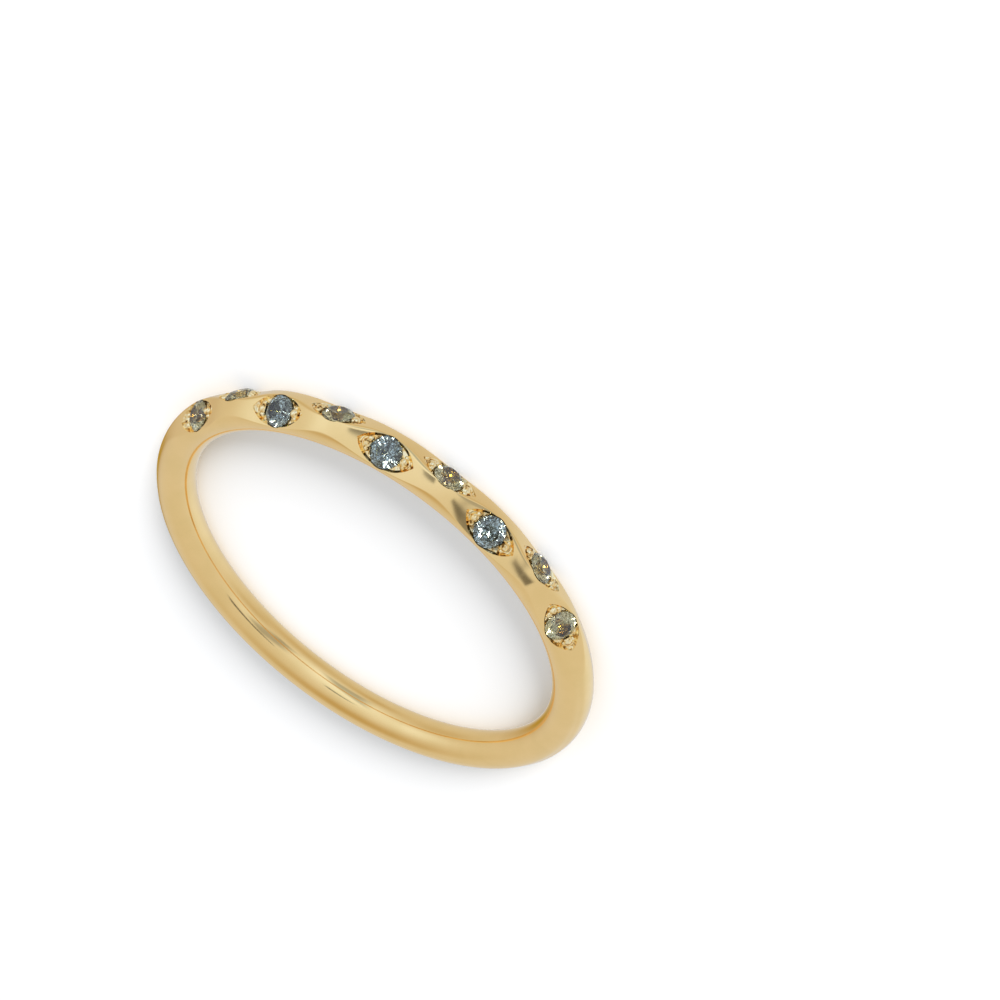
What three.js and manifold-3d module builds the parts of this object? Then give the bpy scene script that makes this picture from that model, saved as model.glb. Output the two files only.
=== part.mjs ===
import * as THREE from 'three';
import { mergeVertices } from 'three/addons/utils/BufferGeometryUtils.js';
import Module from 'manifold-3d';

// A narrow stackable ring of round gold wire. Over its front half the wire is cut into two
// slanted facets that meet at a winding ridge. Round brilliants sit in turn in the one facet
// and in the other, each in a pointed eye that is cut around it, with a raised grain of metal
// at each end of the eye that laps over the edge of the stone.
//
// The ring lies on its side. The axis of the finger hole is Z, the middle stone is at -Y, and
// the ring rests on Z = 0. All lengths are in millimetres.

// Ring and wire
const FINGER_DIAMETER = 17.3;
const WIRE_DIAMETER = 1.64;

// Stones: their number is odd, so that one of them is in the middle
const STONE_COUNT = 9;
const STONE_DIAMETER = 1.25;
const STONE_PITCH = 2.35;
const STONE_CLEARANCE = 0.025;
const GIRDLE_SINK = 0.03;

// Cut of the stones, as shares of the stone's diameter, and as angles in degrees
const TABLE_SHARE = 0.57;
const GIRDLE_SHARE = 0.03;
const CROWN_ANGLE = 34.5;
const PAVILION_ANGLE = 40.75;
const STAR_SHARE = 0.5;
const LOWER_HALF_SHARE = 0.8;

// Facets of the wire: a facet is deepest at its own stones and shallowest at the others
const FRONT_TILT = 36;
const BACK_TILT = 26;
const FRONT_CUT = 0.37;
const BACK_CUT = 0.31;
const SHALLOW_CUT = 0.1;
const FADE_LENGTH = 4.2;

// Eye around each stone, and its two grains
const EYE_REACH = 0.58;
const EYE_DEPTH = 0.12;
const EYE_WALL_SLOPE = 20;
const GRAIN_DIAMETER = 0.4;
const GRAIN_LAP = 0.05;
const GRAIN_RISE = 0.13;

// Fineness of the faceted surface
const STEPS_PER_PITCH = 6;
const PLAIN_STEP = 0.85;
const FACET_STEPS = 3;
const SHOULDER_STEPS = 2;
const INNER_STEPS = 9;
const FLAT_HALF_ANGLE = 7.5;
const EYE_SEGMENTS = 36;
const GRAIN_SEGMENTS = 8;
const GRAIN_RINGS = 4;
const SEAT_SEGMENTS = 16;

const wireRadius = WIRE_DIAMETER / 2;
const middleRadius = FINGER_DIAMETER / 2 + wireRadius;
const stoneRadius = STONE_DIAMETER / 2;
const frontTilt = THREE.MathUtils.degToRad(FRONT_TILT);
const backTilt = THREE.MathUtils.degToRad(BACK_TILT);
const outermostStone = (STONE_COUNT - 1) / 2;

const wasm = await Module();
wasm.setup();

// Arc lengths are measured along the middle line of the wire, from the middle stone.
// Station angles turn about Z, and zero is at -Y.
const stationAngle = (arc) => arc / middleRadius;

// Side is 1 for the front facet, towards +Z, and -1 for the back facet. The middle stone is
// in the front facet.
const sideOf = (index) => (index % 2 === 0 ? 1 : -1);

function lastStone(side) {
  return (sideOf(outermostStone) === side ? outermostStone : outermostStone - 1) * STONE_PITCH;
}

// How much of a facet is left at an arc length: 1 beside the stones, 0 on the plain wire. It
// starts to fade half a pitch before its own last stone.
function facetShare(arc, side) {
  const start = lastStone(side) - STONE_PITCH / 2;
  return 1 - THREE.MathUtils.smoothstep(Math.abs(arc), start, start + FADE_LENGTH);
}

// Distance of a facet's plane from the middle of the wire. Past its own last stone a facet
// only fades.
function facetDistance(arc, side) {
  const wave = side * Math.cos(Math.PI * Math.min(Math.abs(arc), lastStone(side)) / STONE_PITCH);
  const deep = side > 0 ? FRONT_CUT : BACK_CUT;
  const depth = (deep + SHALLOW_CUT) / 2 + wave * (deep - SHALLOW_CUT) / 2;
  return wireRadius - depth * facetShare(arc, side);
}

// The section of the wire is drawn in polar form: angle 0 points away from the finger and
// 90 degrees towards +Z. The sides of the wire have a narrow flat on which the ring rests.
const flatHalfAngle = THREE.MathUtils.degToRad(FLAT_HALF_ANGLE);
const quarterTurn = Math.PI / 2;
const evenRadius = wireRadius * (1 + 1 / Math.cos(flatHalfAngle)) / 2;

function roundRadius(angle) {
  const fromSide = Math.abs(Math.abs(angle) - quarterTurn);
  return fromSide <= flatHalfAngle + 1e-9 ? wireRadius / Math.cos(fromSide) : evenRadius;
}

function facetTilt(side) {
  return side > 0 ? frontTilt : backTilt;
}

// Where the planes of the two facets cross, out and up from the middle of the wire.
function ridgePlace(front, back) {
  const spread = Math.sin(frontTilt + backTilt);
  return {
    out: (front * Math.sin(backTilt) + back * Math.sin(frontTilt)) / spread,
    up: (front * Math.cos(backTilt) - back * Math.cos(frontTilt)) / spread,
  };
}

function planeRadius(angle, distance, side) {
  const slant = Math.cos(angle - side * facetTilt(side));
  return slant > 1e-6 ? distance / slant : Infinity;
}

function sectionRadius(angle, front, back) {
  return Math.min(roundRadius(angle), planeRadius(angle, front, 1), planeRadius(angle, back, -1));
}

// Angles of the section's corners. Beside the stones, corners lie on the ridge and on the
// outer edges of both facets. On the plain wire they are evenly spaced, and where the facets
// are less than half as deep the corners move from the one set of places to the other.
const flatStart = quarterTurn - flatHalfAngle;
const flatEnd = quarterTurn + flatHalfAngle;
const lerp = THREE.MathUtils.lerp;

function shoulderAngles(ridge, distance, side) {
  const reach = facetTilt(side) + Math.acos(Math.min(distance / wireRadius, 1));
  const edge = Math.min(reach, flatEnd - flatHalfAngle / 2);
  const end = Math.max(flatStart, (edge + flatEnd) / 2);
  const angles = [];
  for (let i = 1; i <= FACET_STEPS; i++) {
    angles.push(side * lerp(side * ridge, edge, i / FACET_STEPS));
  }
  for (let i = 1; i <= SHOULDER_STEPS; i++) {
    angles.push(side * lerp(edge, end, i / SHOULDER_STEPS));
  }
  return angles;
}

function evenShoulderAngles(side) {
  const steps = FACET_STEPS + SHOULDER_STEPS;
  return Array.from({ length: steps }, (_, i) => side * flatStart * (i + 1) / steps);
}

function innerAngles() {
  return Array.from({ length: INNER_STEPS + 1 }, (_, i) => {
    const angle = lerp(flatEnd, 2 * Math.PI - flatEnd, i / INNER_STEPS);
    return angle > Math.PI ? angle - 2 * Math.PI : angle;
  });
}

function sectionAngles(arc) {
  const front = facetDistance(arc, 1);
  const back = facetDistance(arc, -1);
  const place = ridgePlace(front, back);
  const ridge = Math.atan2(place.up, place.out);
  const share = Math.min(1, 2 * Math.max(facetShare(arc, 1), facetShare(arc, -1)));
  const blend = (cut, even) => cut.map((angle, i) => lerp(even[i], angle, share));
  const backHalf = blend(shoulderAngles(ridge, back, -1), evenShoulderAngles(-1));
  const frontHalf = blend(shoulderAngles(ridge, front, 1), evenShoulderAngles(1));
  return [...backHalf.reverse(), ridge * share, ...frontHalf, ...innerAngles()];
}

// Point of the ring at an arc length, out is away from the finger and up is along the axis.
function ringPoint(arc, out, up) {
  const angle = stationAngle(arc);
  const radius = middleRadius + out;
  return new THREE.Vector3(radius * Math.sin(angle), -radius * Math.cos(angle), wireRadius + up);
}

// The sections of the wire are in pairs to both sides of each stone's middle.
function stationArcs() {
  const fine = STONE_PITCH / STEPS_PER_PITCH;
  const fadeEnd = (outermostStone - 0.5) * STONE_PITCH + FADE_LENGTH;
  const fineReach = (Math.ceil(fadeEnd / fine) + 0.5) * fine;
  const plainLength = 2 * Math.PI * middleRadius - 2 * fineReach;
  const plainSteps = Math.round(plainLength / PLAIN_STEP);
  const arcs = [];
  for (let arc = -fineReach; arc < fineReach + fine / 2; arc += fine) {
    arcs.push(arc);
  }
  for (let i = 1; i < plainSteps; i++) {
    arcs.push(fineReach + plainLength * i / plainSteps);
  }
  return arcs;
}

// The wire with its two facets, as a closed surface through all sections.
function wireGeometry() {
  const halfTurn = Math.PI * middleRadius;
  const sections = stationArcs().map((arc) => {
    const nearest = arc > halfTurn ? arc - 2 * halfTurn : arc;
    const front = facetDistance(nearest, 1);
    const back = facetDistance(nearest, -1);
    return sectionAngles(nearest).map((angle) => {
      const radius = sectionRadius(angle, front, back);
      return ringPoint(arc, radius * Math.cos(angle), radius * Math.sin(angle));
    });
  });
  const count = sections[0].length;
  const indices = [];
  sections.forEach((_, i) => {
    const here = i * count;
    const next = ((i + 1) % sections.length) * count;
    for (let j = 0; j < count; j++) {
      const k = (j + 1) % count;
      indices.push(here + j, next + j, next + k);
      indices.push(here + j, next + k, here + k);
    }
  });
  return indexedGeometry(sections.flat(), indices);
}

function indexedGeometry(points, indices) {
  const geometry = new THREE.BufferGeometry();
  geometry.setAttribute('position', new THREE.Float32BufferAttribute(points.flatMap((p) => p.toArray()), 3));
  geometry.setIndex(indices);
  return geometry;
}

// A round brilliant of a given diameter: the middle of its girdle is at the origin and its
// table points along +Z. Each eighth has a star, a bezel kite, two upper and two lower
// halves and a pavilion main.
function brilliantGeometry(diameter) {
  const radius = diameter / 2;
  const girdleHalf = diameter * GIRDLE_SHARE / 2;
  const crownSlope = Math.tan(THREE.MathUtils.degToRad(CROWN_ANGLE));
  const pavilionSlope = Math.tan(THREE.MathUtils.degToRad(PAVILION_ANGLE));
  const tableRadius = radius * TABLE_SHARE;
  const eighth = Math.PI / 4;
  const halfStep = Math.cos(eighth / 2);
  const starRadius = lerp(tableRadius * halfStep, radius, STAR_SHARE);
  const lowerRadius = radius * (1 - LOWER_HALF_SHARE);
  const culet = -girdleHalf - radius * pavilionSlope;
  const at = (r, turn, z) => new THREE.Vector3(r * Math.cos(turn), r * Math.sin(turn), z);
  const points = [at(0, 0, culet)];
  for (let i = 0; i < 8; i++) {
    const turn = i * eighth;
    const between = turn + eighth / 2;
    points.push(at(tableRadius, turn, girdleHalf + (radius - tableRadius) * crownSlope));
    points.push(at(starRadius, between, girdleHalf + (radius - starRadius * halfStep) * crownSlope));
    points.push(at(radius, turn, girdleHalf), at(radius, between, girdleHalf));
    points.push(at(radius, turn, -girdleHalf), at(radius, between, -girdleHalf));
    points.push(at(lowerRadius, between, culet + lowerRadius * halfStep * pavilionSlope));
  }
  const [TABLE, STAR, TOP, TOP_BETWEEN, LOW, LOW_BETWEEN, LOWER_TIP] = [0, 1, 2, 3, 4, 5, 6];
  const corner = (i, kind) => 1 + 7 * ((i + 8) % 8) + kind;
  const indices = [];
  for (let i = 0; i < 8; i++) {
    const next = i + 1;
    const before = i - 1;
    if (i > 0 && i < 7) {
      indices.push(corner(0, TABLE), corner(i, TABLE), corner(next, TABLE));
    }
    indices.push(corner(i, TABLE), corner(i, STAR), corner(next, TABLE));
    indices.push(corner(i, TABLE), corner(before, STAR), corner(i, TOP));
    indices.push(corner(i, TABLE), corner(i, TOP), corner(i, STAR));
    indices.push(corner(i, STAR), corner(i, TOP), corner(i, TOP_BETWEEN));
    indices.push(corner(i, STAR), corner(i, TOP_BETWEEN), corner(next, TOP));
    indices.push(corner(i, TOP), corner(i, LOW), corner(i, LOW_BETWEEN));
    indices.push(corner(i, TOP), corner(i, LOW_BETWEEN), corner(i, TOP_BETWEEN));
    indices.push(corner(i, TOP_BETWEEN), corner(i, LOW_BETWEEN), corner(next, LOW));
    indices.push(corner(i, TOP_BETWEEN), corner(next, LOW), corner(next, TOP));
    indices.push(corner(i, LOW), corner(i, LOWER_TIP), corner(i, LOW_BETWEEN));
    indices.push(corner(i, LOW_BETWEEN), corner(i, LOWER_TIP), corner(next, LOW));
    indices.push(0, corner(i, LOW), corner(before, LOWER_TIP));
    indices.push(0, corner(i, LOWER_TIP), corner(i, LOW));
  }
  return indexedGeometry(points, indices);
}

// Frame of a stone's place: its X runs along the wire, its Y across the facet away from the
// ridge, or towards it on the back facet, and its Z is square to the facet. The place is in
// the middle between the ridge and the outer edge of the facet, level with the facet.
function placeMatrix(index) {
  const arc = index * STONE_PITCH;
  const side = sideOf(index);
  const own = facetDistance(arc, side);
  const tilt = facetTilt(side);
  const ridge = ridgePlace(facetDistance(arc, 1), facetDistance(arc, -1));
  const ridgeAcross = side * ridge.up * Math.cos(tilt) - ridge.out * Math.sin(tilt);
  const edgeAcross = Math.sqrt(wireRadius ** 2 - own ** 2);
  const across = (ridgeAcross + edgeAcross) / 2;
  const out = own * Math.cos(tilt) - across * Math.sin(tilt);
  const up = side * (own * Math.sin(tilt) + across * Math.cos(tilt));
  const angle = stationAngle(arc);
  const outward = new THREE.Vector3(Math.sin(angle), -Math.cos(angle), 0);
  const along = new THREE.Vector3(Math.cos(angle), Math.sin(angle), 0);
  const normal = outward.clone().multiplyScalar(Math.cos(tilt));
  normal.z = side * Math.sin(tilt);
  const acrossAxis = normal.clone().cross(along);
  return new THREE.Matrix4().makeBasis(along, acrossAxis, normal).setPosition(ringPoint(arc, out, up));
}

function stoneIndices() {
  return Array.from({ length: STONE_COUNT }, (_, i) => i - outermostStone);
}

function manifoldFrom(geometry, matrix = new THREE.Matrix4()) {
  const bare = geometry.clone();
  bare.deleteAttribute('normal');
  bare.deleteAttribute('uv');
  const merged = mergeVertices(bare, 1e-5).applyMatrix4(matrix);
  return new wasm.Manifold(new wasm.Mesh({
    numProp: 3,
    vertProperties: new Float32Array(merged.attributes.position.array),
    triVerts: new Uint32Array(merged.index.array),
  }));
}

function geometryFrom(manifold) {
  const mesh = manifold.getMesh();
  const geometry = new THREE.BufferGeometry();
  geometry.setAttribute('position', new THREE.Float32BufferAttribute(mesh.vertProperties, 3));
  geometry.setIndex(Array.from(mesh.triVerts));
  geometry.computeVertexNormals();
  return geometry;
}

// The pointed eye is where two round cutters with leaning walls cross. At the level of the
// facet it is as wide as the seat of the stone, and its tips reach past the stone.
function eyeCutter(matrix) {
  const halfWidth = stoneRadius + STONE_CLEARANCE;
  const halfLength = stoneRadius + EYE_REACH;
  const cutterRadius = (halfLength ** 2 + halfWidth ** 2) / (2 * halfWidth);
  const rise = wireRadius;
  const lean = Math.tan(THREE.MathUtils.degToRad(EYE_WALL_SLOPE));
  const cutters = [1, -1].map((side) => {
    const cone = new THREE.CylinderGeometry(
      cutterRadius + rise * lean,
      cutterRadius - EYE_DEPTH * lean,
      rise + EYE_DEPTH,
      EYE_SEGMENTS,
    );
    cone.rotateX(quarterTurn);
    cone.translate(0, side * (cutterRadius - halfWidth), (rise - EYE_DEPTH) / 2);
    return manifoldFrom(cone, matrix);
  });
  return cutters[0].intersect(cutters[1]);
}

// A grain is a small round bead of metal, raised from the floor of the eye.
function grain(matrix, end) {
  const bead = new THREE.SphereGeometry(GRAIN_DIAMETER / 2, GRAIN_SEGMENTS, GRAIN_RINGS);
  bead.rotateX(quarterTurn);
  const along = stoneRadius + GRAIN_DIAMETER / 2 - GRAIN_LAP;
  bead.translate(end * along, 0, GRAIN_RISE - GRAIN_DIAMETER / 2);
  return manifoldFrom(bead, matrix);
}

// The seat of a stone is a plain cone with a short wall around the girdle. Its upper part
// clears the crown where the grains lap over it.
function seatCutter(matrix) {
  const radius = stoneRadius + STONE_CLEARANCE;
  const girdleHalf = STONE_DIAMETER * GIRDLE_SHARE / 2;
  const tip = girdleHalf + radius * Math.tan(THREE.MathUtils.degToRad(PAVILION_ANGLE));
  const brim = girdleHalf + 1.5 * STONE_CLEARANCE;
  const mouth = stoneRadius * TABLE_SHARE;
  const top = brim + (radius - mouth) * Math.tan(THREE.MathUtils.degToRad(CROWN_ANGLE));
  const profile = [[0, -tip], [radius, -girdleHalf], [radius, brim], [mouth, top], [0, top]];
  const seat = new THREE.LatheGeometry(profile.map(([r, z]) => new THREE.Vector2(r, z)), SEAT_SEGMENTS);
  seat.rotateX(quarterTurn);
  return manifoldFrom(seat, matrix);
}

const stoneSeat = new THREE.Matrix4().makeTranslation(0, 0, -GIRDLE_SINK);

function bandGeometry() {
  let band = manifoldFrom(wireGeometry());
  const places = stoneIndices().map(placeMatrix);
  for (const place of places) {
    band = band.subtract(eyeCutter(place));
  }
  for (const place of places) {
    band = band.add(grain(place, 1)).add(grain(place, -1));
  }
  for (const place of places) {
    band = band.subtract(seatCutter(place.clone().multiply(stoneSeat)));
  }
  return geometryFrom(band);
}

const gold = new THREE.MeshStandardMaterial({ color: 0xe3c184, roughness: 0.2, metalness: 1 });
const gem = new THREE.MeshStandardMaterial({ color: 0x9fb2b8, roughness: 0.02, metalness: 0 });

function bandMesh() {
  const mesh = new THREE.Mesh(bandGeometry(), gold);
  mesh.name = 'band';
  return mesh;
}

function stoneMesh(index, number) {
  const geometry = brilliantGeometry(STONE_DIAMETER).toNonIndexed();
  geometry.computeVertexNormals();
  const mesh = new THREE.Mesh(geometry, gem.clone());
  mesh.name = `stone_${number}`;
  mesh.applyMatrix4(placeMatrix(index).multiply(stoneSeat));
  return mesh;
}

const ring = new THREE.Group();
ring.add(bandMesh());
stoneIndices().forEach((index, i) => ring.add(stoneMesh(index, i + 1)));

export default ring;
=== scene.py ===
"""A stackable ring of polished gold wire with small stones, lying on its side on a pale floor."""

import math

import bpy
import numpy as np
from mathutils import Matrix, Vector


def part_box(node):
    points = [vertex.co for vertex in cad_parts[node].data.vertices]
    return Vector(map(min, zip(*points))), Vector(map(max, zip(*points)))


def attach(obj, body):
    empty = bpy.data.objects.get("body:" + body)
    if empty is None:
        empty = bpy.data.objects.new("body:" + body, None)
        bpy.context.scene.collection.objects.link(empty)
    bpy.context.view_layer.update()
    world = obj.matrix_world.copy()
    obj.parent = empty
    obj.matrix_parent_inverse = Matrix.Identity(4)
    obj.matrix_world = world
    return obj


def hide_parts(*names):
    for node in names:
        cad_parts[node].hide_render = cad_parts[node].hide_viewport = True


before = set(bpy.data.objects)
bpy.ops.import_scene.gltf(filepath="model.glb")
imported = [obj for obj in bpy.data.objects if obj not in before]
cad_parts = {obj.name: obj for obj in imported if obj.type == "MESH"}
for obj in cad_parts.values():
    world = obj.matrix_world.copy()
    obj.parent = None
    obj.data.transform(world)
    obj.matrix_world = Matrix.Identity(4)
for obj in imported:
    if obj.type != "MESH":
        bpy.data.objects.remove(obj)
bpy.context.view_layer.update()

MM = 0.001

# The ring, from the frame: the band lies on its side and the axis of the finger hole is Z.
band_low, band_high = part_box("band")
WIRE_RADIUS = (band_high.z - band_low.z) / 2
MIDDLE_RADIUS = (band_high.x - band_low.x) / 2 - WIRE_RADIUS
STONES = sorted(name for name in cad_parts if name.startswith("stone_"))
OUTERMOST = (len(STONES) - 1) // 2

# Sizes of the stones, the facets of the wire and the eyes, as in the solid model, but for the
# eyes, which are cut less deep here
STONE_RADIUS = 0.625 * MM
STONE_PITCH = 2.35 * MM
STONE_CLEARANCE = 0.025 * MM
GIRDLE_SINK = 0.03 * MM
GIRDLE_HALF = 0.01875 * MM
TABLE_SHARE = 0.57
CROWN_ANGLE = math.radians(34.5)
PAVILION_ANGLE = math.radians(40.75)
FRONT_TILT = math.radians(36)
BACK_TILT = math.radians(26)
FRONT_CUT = 0.37 * MM
BACK_CUT = 0.31 * MM
SHALLOW_CUT = 0.1 * MM
FADE_LENGTH = 4.2 * MM
EYE_REACH = 0.58 * MM
EYE_DEPTH = 0.08 * MM
EYE_LEAN = math.tan(math.radians(20))
EYE_FOOT = 0.03 * MM
GRAIN_RADIUS = 0.2 * MM
GRAIN_LAP = 0.05 * MM
GRAIN_RISE = 0.13 * MM

# Finish of the metal: how round its edges are beside the stones and between them, and how
# much a facet swells in the middle
EDGE_ROUNDING = 0.012 * MM
CREST_ROUNDING = 0.1 * MM
FACET_SWELL = 0.012 * MM

# The eyes above the facet, how much their bevels lean, and the points of each of their arcs
EYE_TOP = 0.35 * MM
BEVEL_SHARE = 1.1
ARC_POINTS = 28

# Where the facets have faded out, and the ends of a facet and of its bend, round the section
FADE_END = (OUTERMOST - 0.5) * STONE_PITCH + FADE_LENGTH
FACET_END = math.radians(94)
BEND_END = math.radians(100)
LEAST_SLANT = 0.05

# Sides of the round cutters and beads
SEAT_SIDES = 64
BEAD_SIDES = 36
BEAD_STEPS = 20
CRESCENT_SIDES = 12
CRESCENT_STEPS = 24
SMOOTH_ANGLE = math.radians(32)

# Fineness of the band's surface
FINE_STEP = 0.06 * MM
PLAIN_STEP = 0.3 * MM
INNER_ROWS = 34
SHOULDER_ROWS = 9
FACET_ROWS = (0, 0.012, 0.025, 0.04, 0.06, 0.09, 0.13, 0.18, 0.24, 0.31, 0.38, 0.45, 0.52,
              0.59, 0.66, 0.73, 0.79, 0.84, 0.88, 0.915, 0.94, 0.96, 0.975, 0.988, 1)


def smoothstep(low, high, value):
    x = np.clip((value - low) / (high - low), 0, 1)
    return x * x * (3 - 2 * x)


def soft_min(a, b, width):
    """The smaller of two values, with a rounded change from one to the other."""
    h = np.clip(0.5 + 0.5 * (b - a) / width, 0, 1)
    return b * (1 - h) + a * h - width * h * (1 - h)


def side_of(index):
    """1 for a stone in the front facet, -1 for one in the back facet."""
    return 1 if index % 2 == 0 else -1


def facet_distance(arc, side):
    """Distance of a facet's plane from the middle of the wire; side is 1 for the upper facet."""
    last = (OUTERMOST if side_of(OUTERMOST) == side else OUTERMOST - 1) * STONE_PITCH
    start = last - STONE_PITCH / 2
    share = 1 - smoothstep(start, start + FADE_LENGTH, abs(arc))
    wave = side * math.cos(math.pi * min(abs(arc), last) / STONE_PITCH)
    deep = FRONT_CUT if side > 0 else BACK_CUT
    depth = (deep + SHALLOW_CUT) / 2 + wave * (deep - SHALLOW_CUT) / 2
    return WIRE_RADIUS - depth * share


def facet_tilt(side):
    return FRONT_TILT if side > 0 else BACK_TILT


def ridge_place(front, back):
    """How far out and up the two facets' planes cross, from the middle of the wire."""
    spread = math.sin(FRONT_TILT + BACK_TILT)
    out = (front * math.sin(BACK_TILT) + back * math.sin(FRONT_TILT)) / spread
    up = (front * math.cos(BACK_TILT) - back * math.cos(FRONT_TILT)) / spread
    return out, up


def ridge_across(arc, side):
    """Distance of the ridge from the foot of a facet's normal, measured along the facet."""
    out, up = ridge_place(facet_distance(arc, 1), facet_distance(arc, -1))
    tilt = facet_tilt(side)
    return side * up * math.cos(tilt) - out * math.sin(tilt)


def facet_radius(angles, arc, side):
    """Polar radius of a facet that swells a little between the ridge and its outer edge."""
    distance = facet_distance(arc, side)
    turned = angles - side * facet_tilt(side)
    slant = np.cos(turned)
    safe = np.maximum(slant, LEAST_SLANT)
    ridge = ridge_across(arc, side)
    edge = math.sqrt(max(WIRE_RADIUS ** 2 - distance ** 2, 1e-12))
    across = (distance * np.sin(turned) / safe * side - (ridge + edge) / 2) / ((edge - ridge) / 2)
    swollen = distance - FACET_SWELL * np.clip(across, -1.5, 1.5) ** 2
    return np.where(slant > LEAST_SLANT, swollen / safe, 1.0)


def section_angles(arc):
    """Angles of the section's points, close together at the ridge and the facets' outer edges."""
    front = facet_distance(arc, 1)
    back = facet_distance(arc, -1)
    out, up = ridge_place(front, back)
    ridge = math.atan2(up, out)
    halves = []
    for side, distance in ((-1, back), (1, front)):
        edge = min(facet_tilt(side) + math.acos(min(distance / WIRE_RADIUS, 1)), FACET_END)
        facet = [side * (side * ridge + (edge - side * ridge) * share) for share in FACET_ROWS]
        bend = [(i / SHOULDER_ROWS) ** 1.6 for i in range(1, SHOULDER_ROWS + 1)]
        halves.append(facet[1:] + [side * (edge + (BEND_END - edge) * share) for share in bend])
    inner = np.linspace(BEND_END, 2 * math.pi - BEND_END, INNER_ROWS + 1)[1:-1]
    return np.array(halves[0][::-1] + [ridge] + halves[1] + list(inner))


def section_points(arc):
    """(out, up) of the section's points from the middle of the wire."""
    angles = section_angles(arc)
    wrapped = (angles + math.pi) % (2 * math.pi) - math.pi
    upper = facet_radius(wrapped, arc, 1)
    lower = facet_radius(wrapped, arc, -1)
    between = math.sin(math.pi * arc / STONE_PITCH) ** 2
    radius = soft_min(upper, lower, 2 * EDGE_ROUNDING + between * CREST_ROUNDING)
    radius = soft_min(radius, np.full_like(radius, WIRE_RADIUS), EDGE_ROUNDING)
    return radius * np.cos(wrapped), radius * np.sin(wrapped)


def ring_points(arc, out, up):
    angle = arc / MIDDLE_RADIUS
    radius = MIDDLE_RADIUS + out
    return np.stack([radius * math.sin(angle), -radius * math.cos(angle), WIRE_RADIUS + up], axis=-1)


def mesh_object(name, points, faces):
    mesh = bpy.data.meshes.new(name)
    mesh.from_pydata([tuple(p) for p in points], [], faces)
    mesh.update()
    piece = bpy.data.objects.new(name, mesh)
    bpy.context.scene.collection.objects.link(piece)
    return piece


def station_arcs():
    fine_count = math.ceil(FADE_END / FINE_STEP)
    fine = [i * FINE_STEP for i in range(-fine_count, fine_count + 1)]
    plain = 2 * math.pi * MIDDLE_RADIUS - 2 * fine_count * FINE_STEP
    plain_count = round(plain / PLAIN_STEP)
    return fine + [fine[-1] + plain * i / plain_count for i in range(1, plain_count)]


def wire(name):
    """The wire with its two facets, as one closed surface."""
    half_turn = math.pi * MIDDLE_RADIUS
    rings = []
    for arc in station_arcs():
        nearest = arc - 2 * half_turn if arc > half_turn else arc
        rings.append(ring_points(arc, *section_points(nearest)))
    rows = len(rings[0])
    faces = []
    for i in range(len(rings)):
        here = i * rows
        there = (i + 1) % len(rings) * rows
        for j in range(rows):
            k = (j + 1) % rows
            faces.append((here + j, there + j, there + k, here + k))
    return mesh_object(name, np.concatenate(rings), faces)


def place_matrix(index):
    """Frame of a stone's place: X along the wire, Y across the facet, Z square to it."""
    arc = index * STONE_PITCH
    side = side_of(index)
    own = facet_distance(arc, side)
    lean_out = math.cos(facet_tilt(side))
    lean_up = math.sin(facet_tilt(side))
    across = (ridge_across(arc, side) + math.sqrt(WIRE_RADIUS ** 2 - own ** 2)) / 2
    place = ring_points(
        arc,
        own * lean_out - across * lean_up,
        side * (own * lean_up + across * lean_out),
    )
    angle = arc / MIDDLE_RADIUS
    along = Vector((math.cos(angle), math.sin(angle), 0))
    normal = Vector((math.sin(angle) * lean_out, -math.cos(angle) * lean_out, side * lean_up))
    matrix = Matrix((along, normal.cross(along), normal)).transposed().to_4x4()
    matrix.translation = Vector(place)
    return matrix


PLACES = [place_matrix(index) for index in range(-OUTERMOST, OUTERMOST + 1)]


def at_places(name, shapes, matrices):
    """One object with a copy of the shapes, each (points, faces), at every place."""
    points = []
    faces = []
    for matrix in matrices:
        for shape_points, shape_faces in shapes:
            start = len(points)
            points.extend(matrix @ Vector(p) for p in shape_points)
            faces.extend(tuple(start + i for i in face) for face in shape_faces)
    return mesh_object(name, points, faces)


def loft(rings):
    """Closed shape through rings of points, listed from below upwards and each anticlockwise."""
    count = len(rings[0])
    points = [p for ring in rings for p in ring]
    faces = [tuple(reversed(range(count)))]
    for level in range(len(rings) - 1):
        here = level * count
        for j in range(count):
            k = (j + 1) % count
            faces.append((here + j, here + k, here + count + k, here + count + j))
    faces.append(tuple(range((len(rings) - 1) * count, len(rings) * count)))
    return points, faces


def eye_outline(height, spread):
    """Pointed outline of an eye at a height: two arcs that meet in tips, moved out by spread."""
    half_width = STONE_RADIUS + STONE_CLEARANCE
    half_length = STONE_RADIUS + EYE_REACH
    arc_radius = (half_length ** 2 + half_width ** 2) / (2 * half_width)
    centre = arc_radius - half_width
    radius = arc_radius + spread
    reach = math.acos(centre / radius)
    outline = []
    for side in (1, -1):
        for i in range(ARC_POINTS):
            turn = side * math.pi / 2 + reach * (2 * i / ARC_POINTS - 1)
            across = radius * math.sin(turn) - side * centre
            outline.append((radius * math.cos(turn), across, height))
    return outline


def eye_cutter():
    """Bevelled walls with a rounded foot around a flat floor; above the facet they lean less."""
    rings = []
    for share in (0.0, 0.25, 0.5, 0.75, 1.0):
        turn = share * math.pi / 4
        height = EYE_FOOT * (1 - math.cos(turn))
        spread = EYE_FOOT * (math.sin(turn) - math.sin(math.pi / 4))
        rings.append(eye_outline(height - EYE_DEPTH, spread - EYE_DEPTH * BEVEL_SHARE))
    top = EYE_FOOT * (1 - math.cos(math.pi / 4))
    rings.append(eye_outline(top + EYE_DEPTH * (BEVEL_SHARE - 1), 0.0))
    rings.append(eye_outline(EYE_TOP, (EYE_TOP - rings[-1][0][2]) * EYE_LEAN))
    return loft(rings)


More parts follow.
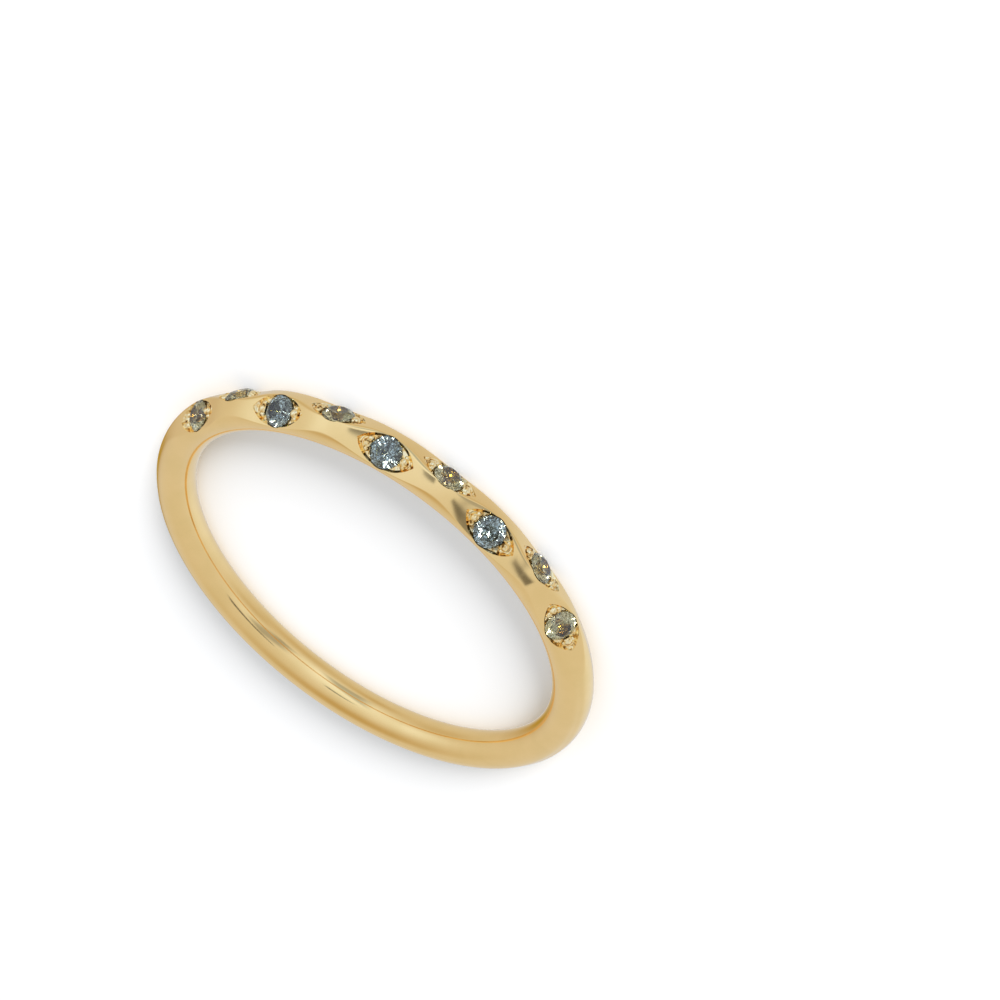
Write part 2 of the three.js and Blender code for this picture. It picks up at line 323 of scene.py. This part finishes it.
def turned(profile, segments):
    """Closed shape turned about Z from (radius, height) pairs that start and end on the axis."""
    points = [(0, 0, profile[0][1])]
    for radius, height in profile[1:-1]:
        for i in range(segments):
            turn = 2 * math.pi * i / segments
            points.append((radius * math.cos(turn), radius * math.sin(turn), height))
    points.append((0, 0, profile[-1][1]))
    last = len(points) - 1
    levels = len(profile) - 2
    faces = []
    for i in range(segments):
        k = (i + 1) % segments
        faces.append((0, 1 + k, 1 + i))
        for level in range(levels - 1):
            here = 1 + level * segments
            faces.append((here + i, here + k, here + segments + k, here + segments + i))
        top = 1 + (levels - 1) * segments
        faces.append((top + i, top + k, last))
    return points, faces


def seat_cutter():
    radius = STONE_RADIUS + STONE_CLEARANCE
    tip = GIRDLE_HALF + radius * math.tan(PAVILION_ANGLE)
    brim = GIRDLE_HALF + 1.5 * STONE_CLEARANCE
    mouth = STONE_RADIUS * TABLE_SHARE
    top = brim + (radius - mouth) * math.tan(CROWN_ANGLE)
    return turned([(0, -tip), (radius, -GIRDLE_HALF), (radius, brim), (mouth, top), (0, top)], SEAT_SIDES)


# Beads of metal raised at the ends of an eye: which ends, along and across from the main grain's
# middle, height of the top above the facet, and radius
BEADS = (
    ((1, -1), 0.0, 0.0, GRAIN_RISE, GRAIN_RADIUS),
    ((1,), -0.03 * MM, 0.21 * MM, 0.09 * MM, 0.13 * MM),
    ((1,), -0.03 * MM, -0.21 * MM, 0.09 * MM, 0.13 * MM),
    ((-1,), 0.04 * MM, 0.2 * MM, 0.04 * MM, 0.1 * MM),
    ((-1,), 0.04 * MM, -0.2 * MM, 0.04 * MM, 0.1 * MM),
)
CRESCENT_RADIUS = 0.29 * MM
CRESCENT_THICKNESS = 0.05 * MM
CRESCENT_TURN = math.radians(60)
GRAIN_MIDDLE = STONE_RADIUS + GRAIN_RADIUS - GRAIN_LAP


def bead(radius):
    turns = [math.pi * i / BEAD_STEPS for i in range(BEAD_STEPS + 1)]
    return turned([(radius * math.sin(turn), -radius * math.cos(turn)) for turn in turns], BEAD_SIDES)


def grain_shapes(place):
    """The bead of a place in BEADS, at each of its ends of an eye."""
    ends, along, across, top, radius = BEADS[place]
    points, faces = bead(radius)
    shapes = []
    for end in ends:
        middle = end * (GRAIN_MIDDLE + along)
        shapes.append(([(x + middle, y + across, z + top - radius) for x, y, z in points], faces))
    return shapes


def crescent_shapes():
    """A curved rim between the main grain and the tip, at both ends of an eye."""
    rings = []
    for i in range(CRESCENT_STEPS + 1):
        share = 2 * i / CRESCENT_STEPS - 1
        turn = CRESCENT_TURN * share
        thick = CRESCENT_THICKNESS * max(math.cos(math.pi / 2 * share), 0.15)
        ring = []
        for j in range(CRESCENT_SIDES):
            around = 2 * math.pi * j / CRESCENT_SIDES
            reach = CRESCENT_RADIUS + thick * math.cos(around)
            ring.append((GRAIN_MIDDLE + reach * math.cos(turn), reach * math.sin(turn),
                         thick * math.sin(around) - EYE_DEPTH + 0.3 * CRESCENT_THICKNESS))
        rings.append(ring[::-1])
    points, faces = loft(rings)
    return [([(end * x, end * y, z) for x, y, z in points], faces) for end in (1, -1)]


def combine(piece, other, operation, finish):
    other.data.materials.append(finish)
    change = piece.modifiers.new(operation.lower(), "BOOLEAN")
    change.operation = operation
    change.solver = "MANIFOLD"
    change.material_mode = "TRANSFER"
    change.object = other
    bpy.context.view_layer.objects.active = piece
    bpy.ops.object.modifier_apply(modifier=change.name)
    bpy.data.objects.remove(other)


def make_band(gold, cut_gold_painted_glints):
    band = wire("polished_band")
    band.data.materials.append(gold)
    seats = [place @ Matrix.Translation((0, 0, -GIRDLE_SINK)) for place in PLACES]
    combine(band, at_places("eyes", [eye_cutter()], PLACES), "DIFFERENCE", cut_gold_painted_glints)
    for place in range(len(BEADS)):
        combine(band, at_places("grains", grain_shapes(place), PLACES), "UNION", cut_gold_painted_glints)
    combine(band, at_places("crescents", crescent_shapes(), PLACES), "UNION", cut_gold_painted_glints)
    combine(band, at_places("pockets", [seat_cutter()], seats), "DIFFERENCE", cut_gold_painted_glints)
    band.data.shade_smooth()
    band.data.set_sharp_from_angle(angle=SMOOTH_ANGLE)
    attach(band, "root")
    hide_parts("band")


def new_material(name):
    material = bpy.data.materials.new(name)
    material.use_nodes = True
    nodes = material.node_tree.nodes
    return material, nodes, material.node_tree.links, nodes["Principled BSDF"]


def noise(nodes, links, scale, detail, distortion=0.0):
    """Noise that is fixed to the object, from 0 to 1."""
    pattern = nodes.new("ShaderNodeTexNoise")
    pattern.inputs["Scale"].default_value = scale
    pattern.inputs["Detail"].default_value = detail
    pattern.inputs["Distortion"].default_value = distortion
    place = nodes.new("ShaderNodeTexCoord")
    links.new(place.outputs["Object"], pattern.inputs["Vector"])
    return pattern.outputs["Fac"]


def tint(nodes, links, shader, pattern, colours):
    """Colours the shader by a pattern; each colour comes with its place in the pattern."""
    ramp = nodes.new("ShaderNodeValToRGB")
    steps = ramp.color_ramp.elements
    while len(steps) < len(colours):
        steps.new(0.5)
    for step, (position, colour) in zip(steps, colours):
        step.position = position
        step.color = (*colour, 1)
    links.new(pattern, ramp.inputs["Fac"])
    links.new(ramp.outputs["Color"], shader.inputs["Base Color"])


def gold_material(name, roughness, bump_scale, bump_height, tone_and_glint_noise, colours):
    """Metal with a fine relief, a polish that varies with it, and colours from its own noise: random
    tones on the polished gold, painted glints and dark painted reflections on the cut gold.
    """
    material, nodes, links, shader = new_material(name)
    shader.inputs["Metallic"].default_value = 1.0
    tint(nodes, links, shader, noise(nodes, links, *tone_and_glint_noise), colours)
    relief = noise(nodes, links, bump_scale, BUMP_DETAIL)
    polish = nodes.new("ShaderNodeMapRange")
    polish.inputs["To Min"].default_value = roughness * (1 - POLISH_CHANGE)
    polish.inputs["To Max"].default_value = roughness * (1 + POLISH_CHANGE)
    links.new(relief, polish.inputs["Value"])
    links.new(polish.outputs[0], shader.inputs["Roughness"])
    bump = nodes.new("ShaderNodeBump")
    bump.inputs["Strength"].default_value = 1.0
    bump.inputs["Distance"].default_value = bump_height
    links.new(relief, bump.inputs["Height"])
    links.new(bump.outputs["Normal"], shader.inputs["Normal"])
    return material


def stone_material(name, colours):
    """Clear stone whose colour changes in fine swirls from near black to light: painted dark and bright
    reflections over the stone's own tint.
    """
    material, nodes, links, shader = new_material(name)
    tint(nodes, links, shader, noise(nodes, links, *STONE_PAINTED_SPARKLE_NOISE), colours)
    shader.inputs["Transmission Weight"].default_value = 1.0
    shader.inputs["IOR"].default_value = STONE_IOR
    shader.inputs["Roughness"].default_value = 0.0
    return material


# Scale, detail and distortion of the noise that paints dark and bright reflections in the stones, of the
# random tones of the polished gold, and of the painted glints and dark painted reflections of the cut
# gold
STONE_PAINTED_SPARKLE_NOISE = (5200, 2, 2.2)
POLISHED_NOISE = (900, 3, 0.0)
PAINTED_GLINT_NOISE = (6500, 2, 0.6)
STONE_IOR = 1.76
BUMP_DETAIL = 3
POLISH_CHANGE = 0.2
gold = gold_material("gold", 0.1, 900, 0.00005 * MM, POLISHED_NOISE, (
    (0.35, (0.9457, 0.66585, 0.28868)),
    (0.65, (0.98, 0.69, 0.31)),
))
# On the cut faces the dark brown flecks are painted dark reflections and the light flecks are painted
# glints, over the gold's own colour
cut_gold_painted_glints = gold_material("cut_gold_painted_glints", 0.09, 9000, 0.003 * MM, PAINTED_GLINT_NOISE, (
    (0.33, (0.2, 0.09, 0.015)),
    (0.43, (0.95, 0.63, 0.24)),
    (0.58, (1.0, 0.85, 0.52)),
))
# The near-black and light ends of the stones' ramps are painted shade and painted sparkle; the middle
# colours are the stones' own grey and olive
grey_stone = stone_material("grey_stone", (
    (0.38, (0.008, 0.01, 0.008)),
    (0.46, (0.14, 0.14, 0.1)),
    (0.54, (0.28, 0.36, 0.35)),
    (0.63, (0.66, 0.8, 0.82)),
))
olive_stone = stone_material("olive_stone", (
    (0.34, (0.07, 0.055, 0.015)),
    (0.45, (0.36, 0.31, 0.14)),
    (0.55, (0.6, 0.55, 0.32)),
    (0.66, (1.0, 0.98, 0.75)),
))
make_band(gold, cut_gold_painted_glints)
for name in STONES:
    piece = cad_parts[name]
    index = STONES.index(name) - OUTERMOST
    olive = side_of(index) < 0 or abs(index) == OUTERMOST
    piece.data.materials.clear()
    piece.data.materials.append(olive_stone if olive else grey_stone)


# Camera: the photograph's view of the ring, found from its outline. The three directions are
# the camera's right, up and back, in the ring's frame, and the ring keeps the photo's place.
CAMERA_PLACE = Vector((-0.02048483, -0.07539792, 0.04290215 + WIRE_RADIUS))
CAMERA_AZIMUTH = 15.2


def make_camera():
    zup = Vector((-0.50877932, 0.67080711, -0.53959376))
    near = Vector((0.34718528, -0.41367463, -0.84162681))
    left = zup.cross(near)
    turn = math.radians(CAMERA_AZIMUTH)
    minus_y = near * math.cos(turn) + left * math.sin(turn)
    plus_x = left * math.cos(turn) - near * math.sin(turn)
    to_ring = Matrix((plus_x, -minus_y, zup))
    right = to_ring @ Vector((1, 0, 0))
    up = to_ring @ Vector((0, -1, 0))
    back = to_ring @ Vector((0, 0, -1))
    matrix = Matrix((right, up, back)).transposed().to_4x4()
    matrix.translation = CAMERA_PLACE
    data = bpy.data.cameras.new("camera")
    data.sensor_width = 36
    data.lens = 79.2
    data.clip_start = 0.001
    data.clip_end = 10
    camera = bpy.data.objects.new("camera", data)
    camera.matrix_world = matrix
    bpy.context.scene.collection.objects.link(camera)
    bpy.context.scene.camera = camera


make_camera()

# Floor, a hair below the ring
FLOOR_HALF = 1.0
FLOOR_GAP = 0.01 * MM


def make_floor():
    corners = [(x * FLOOR_HALF, y * FLOOR_HALF, 0) for x, y in ((-1, -1), (1, -1), (1, 1), (-1, 1))]
    floor = mesh_object("floor", corners, [(0, 1, 2, 3)])
    floor.location.z = -FLOOR_GAP
    material, _, _, shader = new_material("floor")
    shader.inputs["Base Color"].default_value = (0.93, 0.92, 0.915, 1)
    shader.inputs["Roughness"].default_value = 0.9
    shader.inputs["Specular IOR Level"].default_value = 0.0
    floor.data.materials.append(material)
    floor.visible_glossy = False


make_floor()

# Soft light round the ring. Level of the light, and its broad lobes: azimuth and elevation of
# the middle in degrees, how narrow it is, and how much light it adds or takes away
BASE_LIGHT = 0.723
LOBES = (
    (7, 15, 6, 0.31),
    (-128, -30, 6, 0.21),
    (120, 75, 14, -0.23),
    (133, -15, 14, -0.21),
    (60, 30, 14, 0.2),
    (-54, 15, 14, 0.17),
    (-30, -60, 14, -0.16),
    (70, -15, 14, -0.16),
    (-7, -15, 14, 0.18),
    (31, -45, 30, -0.19),
    (15, 0, 16, 0.13),
    (148, -15, 30, -0.25),
    (150, 60, 30, -0.1),
    (-60, -30, 30, -0.14),
    (54, 15, 30, 0.11),
)

# Darker parts of the room round the ring: how much light each takes away, how soft its edge is,
# and the azimuth and elevation of its corners in degrees
FLAGS = (
    (0.75, 0.05, ((-76, 30.5), (-57, 35.2), (-57, 41.5), (-76, 39.3))),
    (0.75, 0.05, ((-57, 35.2), (-38, 36.5), (-38, 39.2), (-57, 41.5))),
    (0.7, 0.05, ((0, 30), (19, 31.5), (17, 34.5), (8, 36.5), (0, 37))),
    (0.45, 0.2, ((-56, 20), (-36, -20), (-26, -20), (-32, 18), (-49, 36))),
    (0.45, 0.2, ((-4, -26), (22, -26), (22, 15), (1, 1))),
)


def direction_of(azimuth, elevation):
    turn = math.radians(azimuth)
    rise = math.radians(elevation)
    return Vector((math.sin(turn) * math.cos(rise), -math.cos(turn) * math.cos(rise), math.sin(rise)))


def make_world():
    world = bpy.data.worlds.new("studio")
    bpy.context.scene.world = world
    world.use_nodes = True
    nodes = world.node_tree.nodes
    links = world.node_tree.links
    direction = nodes.new("ShaderNodeTexCoord").outputs["Generated"]

    def calculate(operation, *values):
        node = nodes.new("ShaderNodeMath")
        node.operation = operation
        for socket, value in zip(node.inputs, values):
            if isinstance(value, (int, float)):
                socket.default_value = value
            else:
                links.new(value, socket)
        return node.outputs[0]

    def along(vector):
        dot = nodes.new("ShaderNodeVectorMath")
        dot.operation = "DOT_PRODUCT"
        links.new(direction, dot.inputs[0])
        dot.inputs[1].default_value = vector
        return dot.outputs["Value"]

    light = BASE_LIGHT
    for azimuth, elevation, narrow, change in LOBES:
        dot = along(direction_of(azimuth, elevation))
        lobe = calculate("EXPONENT", calculate("MULTIPLY_ADD", dot, narrow, -narrow))
        light = calculate("MULTIPLY_ADD", lobe, change, light)
    strength = 1.0
    for depth, softness, corners in FLAGS:
        ends = [direction_of(*corner) for corner in corners]
        inside = 1.0
        for start, end in zip(ends, ends[1:] + ends[:1]):
            inside = calculate("MINIMUM", along(start.cross(end).normalized()), inside)
        shade = nodes.new("ShaderNodeMapRange")
        shade.interpolation_type = "SMOOTHSTEP"
        shade.inputs["From Min"].default_value = -softness / 2
        shade.inputs["From Max"].default_value = softness / 2
        shade.inputs["To Min"].default_value = 1.0
        shade.inputs["To Max"].default_value = 1.0 - depth
        links.new(inside, shade.inputs["Value"])
        strength = calculate("MULTIPLY", shade.outputs[0], strength)
    colour = nodes.new("ShaderNodeCombineColor")
    links.new(calculate("MULTIPLY_ADD", light, 0.6, 0.275), colour.inputs[0])
    links.new(light, colour.inputs[1])
    links.new(calculate("MULTIPLY_ADD", light, 1.7, -0.5), colour.inputs[2])
    links.new(colour.outputs[0], nodes["Background"].inputs["Color"])
    links.new(strength, nodes["Background"].inputs["Strength"])


make_world()


def make_sun():
    """A low, broad light from the front, which reflections do not see."""
    data = bpy.data.lights.new("key", "SUN")
    data.energy = 6.2
    data.angle = math.radians(20)
    light = bpy.data.objects.new("key", data)
    light.rotation_euler = Vector((-0.3, -1, 0.26)).to_track_quat("Z", "Y").to_euler()
    light.visible_glossy = False
    bpy.context.scene.collection.objects.link(light)


make_sun()
bpy.context.scene.view_settings.view_transform = "Standard"
